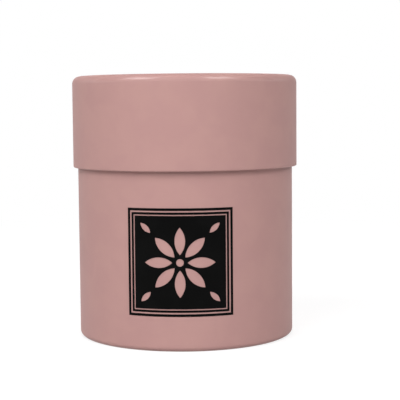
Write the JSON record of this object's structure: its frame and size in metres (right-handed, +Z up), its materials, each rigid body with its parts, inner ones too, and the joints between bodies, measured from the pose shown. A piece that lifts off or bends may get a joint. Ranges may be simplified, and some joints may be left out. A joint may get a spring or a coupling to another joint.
{
  "type": "cylindrical gift tube box",
  "caption": "Round gift box of wound paper tube: a base with a pressed foot, and a deeper slip lid with a rolled rim, in rose paper with a black printed panel.",
  "frame": {"origin": "middle of the foot, on the surface that the box stands on", "axes": "+Z up along the tube's axis, -Y out of the front, through the middle of the printed panel"},
  "size_m": [0.065, 0.065, 0.075],
  "materials": {
    "printed_paper": "matte",
    "white_paper": "matte",
    "wound_board": "rough",
    "black_ink": "satin"
  },
  "bodies": {
    "base": {"base_tube": "wound_board", "base_lining": "white_paper", "base_wrap": "printed_paper", "base_underside_facing": "printed_paper", "base_disc": "wound_board", "base_floor_liner": "white_paper", "print_outer_rule": "black_ink", "print_inner_rule": "black_ink", "print_field": "black_ink"},
    "lid": {"lid_tube": "wound_board", "lid_lining": "white_paper", "lid_wrap": "printed_paper", "lid_top_facing": "printed_paper", "lid_disc": "wound_board", "lid_ceiling_liner": "white_paper"}
  },
  "joints": [
    {"name": "lid_lift", "type": "slide", "parent": "base", "child": "lid", "axis": [0, 0, 1], "range_m": [0, 0.04]}
  ]
}
